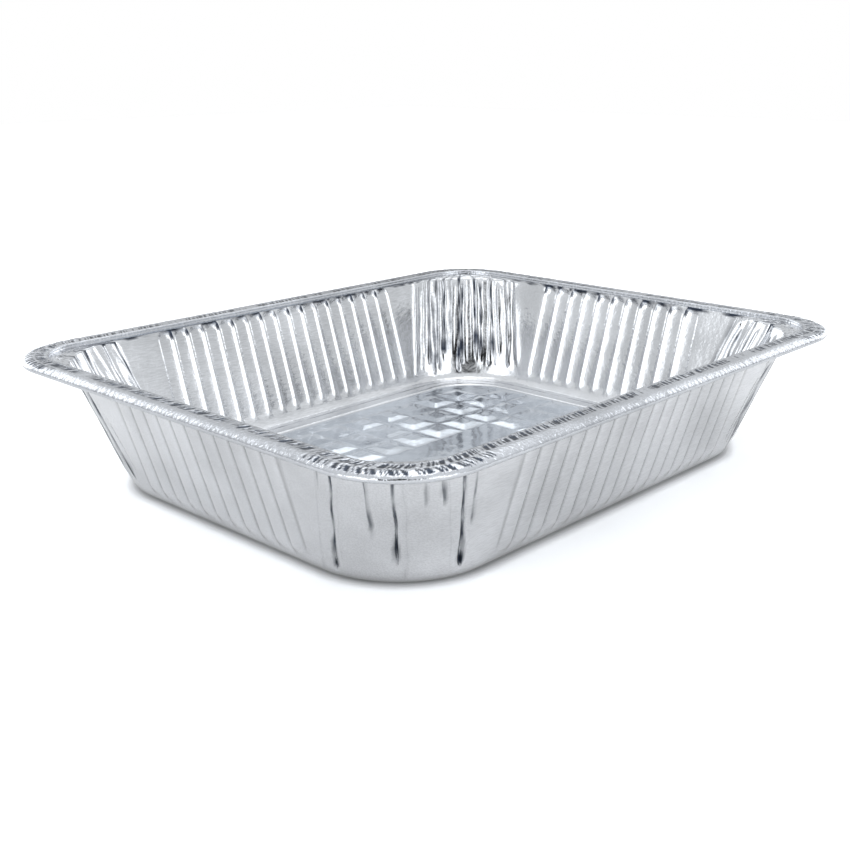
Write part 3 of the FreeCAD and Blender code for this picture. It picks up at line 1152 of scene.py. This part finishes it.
def direction(azimuth, elevation):
    """Unit vector from the tray; azimuth 0 looks towards -Y and 90 towards +X."""
    a = math.radians(azimuth)
    e = math.radians(elevation)
    return Vector((math.sin(a) * math.cos(e), -math.cos(a) * math.cos(e), math.sin(e)))


def place_camera(scene):
    back = direction(view_azimuth, view_elevation)
    level_right = (-back).cross(Vector((0.0, 0.0, 1.0))).normalized()
    level_up = level_right.cross(-back)
    roll = math.radians(view_roll)
    right = level_right * math.cos(roll) + level_up * math.sin(roll)
    upward = level_up * math.cos(roll) - level_right * math.sin(roll)
    data = bpy.data.cameras.new("camera")
    data.lens = view_lens
    data.sensor_width = sensor_width
    data.clip_start = view_nearest
    data.clip_end = view_farthest
    camera = bpy.data.objects.new("camera", data)
    scene.collection.objects.link(camera)
    turned = Matrix((right, upward, back)).transposed().to_4x4()
    camera.matrix_world = Matrix.Translation(Vector(view_target) + back * view_distance) @ turned
    scene.camera = camera


# Table: half size, its white, what the camera sees more of it, and its glow in the foil
table_half = 3.0
table_white = 0.82
camera_white = 0.75
table_glow = 0.17

# Painted shadow, a soft dark ring where the tray's foot meets the table: half sizes, corner radius, core,
# width and tone
contact_half = (128.0 * mm, 98.5 * mm)
contact_radius = 41.0 * mm
contact_line = 1.0 * mm
contact_width = 8.0 * mm
contact_shade = 0.42


def table_material():
    """White table that keeps the tray's shadow, with a painted shadow ring round the tray's foot."""
    material = bpy.data.materials.new("table")
    material.use_nodes = True
    material.node_tree.nodes.clear()
    w = Wiring(material.node_tree)
    path = w.add("ShaderNodeLightPath")
    place = w.add("ShaderNodeTexCoord").outputs["Object"]
    size = w.vectors("ABSOLUTE", {0: place}).outputs[0]
    straight = tuple(half - contact_radius for half in contact_half) + (0.0,)
    past = w.vectors("SUBTRACT", {0: size, 1: straight}).outputs[0]
    kept = w.vectors("MAXIMUM", {0: past, 1: (0.0, 0.0, 0.0)}).outputs[0]
    far = w.vectors("LENGTH", {0: kept}).outputs["Value"]
    darkest = contact_radius + contact_line
    # Painted shadow ring round the tray's foot
    contact_shadow = w.ramp(far, darkest, darkest + contact_width, contact_shade, 1.0)
    albedo = w.times(w.plus(table_white, w.times(path.outputs["Is Camera Ray"], camera_white)), contact_shadow)
    matt = w.add("ShaderNodeBsdfDiffuse", {"Color": albedo})
    mirrored = w.times(path.outputs["Is Glossy Ray"], table_glow)
    glow = w.add("ShaderNodeEmission", {"Color": (1.0, 1.0, 1.0, 1.0), "Strength": mirrored})
    both = w.add("ShaderNodeAddShader", {0: matt.outputs[0], 1: glow.outputs[0]})
    w.add("ShaderNodeOutputMaterial", {"Surface": both.outputs[0]})
    return material


# Bright and dark parts of the room that the foil mirrors: azimuth, elevation, both half angles, level
room_parts = (
    (-90.0, 14.0, 12.0, 30.0, 2.3),
    (0.0, 14.0, 10.0, 26.0, 2.1),
    (90.0, 14.0, 10.0, 26.0, 2.1),
    (180.0, 16.0, 12.0, 28.0, 2.3),
    (view_azimuth + 180.0, 5.0, 4.0, 12.0, 0.4),
    (view_azimuth + 180.0, 50.0, 10.0, 22.0, 1.7),
    (view_azimuth, 17.0, 12.0, 28.0, 0.01),
)

# Light of the room elsewhere, from the horizon to overhead, and its tint
room_levels = ((0.0, 0.7), (0.1, 0.7), (0.3, 0.76), (0.5, 0.84), (0.75, 0.9), (1.0, 0.88))
room_tint = (0.95, 0.975, 1.0)


def room_world(scene):
    """White to the camera; a soft studio with lit panels and a dark side to the foil."""
    world = bpy.data.worlds.new("studio")
    scene.world = world
    world.use_nodes = True
    world.node_tree.nodes.clear()
    w = Wiring(world.node_tree)
    toward = w.add("ShaderNodeTexCoord").outputs["Generated"]
    height = w.add("ShaderNodeSeparateXYZ", {0: toward}).outputs["Z"]
    shade = w.add("ShaderNodeValToRGB", {"Fac": height})
    shade.color_ramp.interpolation = "EASE"
    stops = shade.color_ramp.elements
    while len(stops) < len(room_levels):
        stops.new(0.5)
    for stop, (place, level) in zip(stops, room_levels):
        stop.position = place
        stop.color = (level, level, level, 1.0)
    level = shade.outputs[0]
    for azimuth, elevation, inner, outer, strength in room_parts:
        aim = w.vectors("DOT_PRODUCT", {0: toward, 1: direction(azimuth, elevation)}).outputs["Value"]
        edge = math.cos(math.radians(outer))
        share = w.ramp(aim, edge, math.cos(math.radians(inner)), 0.0, 1.0)
        mix = w.add("ShaderNodeMix", {"Factor": share}, data_type="FLOAT")
        w.feed(mix.inputs[2], level)
        w.feed(mix.inputs[3], strength)
        level = mix.outputs[0]
    tinted = w.vectors("SCALE", {0: room_tint, "Scale": level}).outputs[0]
    room = w.add("ShaderNodeBackground", {"Color": tinted})
    white = w.add("ShaderNodeBackground", {"Color": (1.0, 1.0, 1.0, 1.0)})
    to_camera = w.add("ShaderNodeLightPath").outputs["Is Camera Ray"]
    choice = w.add("ShaderNodeMixShader", {0: to_camera, 1: room.outputs[0], 2: white.outputs[0]})
    w.add("ShaderNodeOutputWorld", {"Surface": choice.outputs[0]})


lamp_size = (0.9, 0.6)
lamp_place = (0.25, 0.15, 1.3)
lamp_tilt = (-7.0, 11.0, 0.0)


class FOIL_TRAY_OT_stage(bpy.types.Operator):
    """Set the white table, the soft light and the camera"""

    bl_idname = "foil_tray.stage"
    bl_label = "Stage"

    def execute(self, context):
        scene = context.scene
        scene.view_settings.view_transform = "Standard"
        mesh = bpy.data.meshes.new("table")
        t = table_half
        mesh.from_pydata([(-t, -t, 0.0), (t, -t, 0.0), (t, t, 0.0), (-t, t, 0.0)], [], [(0, 1, 2, 3)])
        mesh.materials.append(table_material())
        table = bpy.data.objects.new("table", mesh)
        scene.collection.objects.link(table)
        lamp = bpy.data.lights.new("soft_lamp", "AREA")
        lamp.energy = scene.foil_tray_look.lamp_power
        lamp.shape = "RECTANGLE"
        lamp.size, lamp.size_y = lamp_size
        above = bpy.data.objects.new("soft_lamp", lamp)
        above.location = lamp_place
        above.rotation_euler = [math.radians(angle) for angle in lamp_tilt]
        scene.collection.objects.link(above)
        room_world(scene)
        place_camera(scene)
        return {"FINISHED"}


class FOIL_TRAY_PT_panel(bpy.types.Panel):
    """Lists the steps that make the tray"""

    bl_idname = "FOIL_TRAY_PT_panel"
    bl_label = "Foil tray"
    bl_space_type = "VIEW_3D"
    bl_region_type = "UI"
    bl_category = "Foil tray"

    def draw(self, context):
        for group, operator in (
            (context.scene.foil_tray_look, FOIL_TRAY_OT_stage),
            (context.scene.foil_tray_walls, FOIL_TRAY_OT_walls),
            (context.scene.foil_tray_floor, FOIL_TRAY_OT_floor),
            (context.scene.foil_tray_rim, FOIL_TRAY_OT_rim),
        ):
            box = self.layout.box()
            for name in group.__annotations__:
                box.prop(group, name)
            box.operator(operator.bl_idname)


groups = {
    "foil_tray_walls": WallSizes,
    "foil_tray_floor": FloorSizes,
    "foil_tray_rim": RimSizes,
    "foil_tray_look": FoilLook,
}
operators = (FOIL_TRAY_OT_stage, FOIL_TRAY_OT_walls, FOIL_TRAY_OT_floor, FOIL_TRAY_OT_rim)


def register():
    for kind in (*groups.values(), *operators, FOIL_TRAY_PT_panel):
        bpy.utils.register_class(kind)
    for name, kind in groups.items():
        setattr(bpy.types.Scene, name, PointerProperty(type=kind))


def unregister():
    for name in groups:
        delattr(bpy.types.Scene, name)
    for kind in (FOIL_TRAY_PT_panel, *operators, *groups.values()):
        bpy.utils.unregister_class(kind)


def main():
    register()
    bpy.ops.foil_tray.stage()
    bpy.ops.foil_tray.walls()
    bpy.ops.foil_tray.floor()
    bpy.ops.foil_tray.rim()


if __name__ == "__main__":
    main()
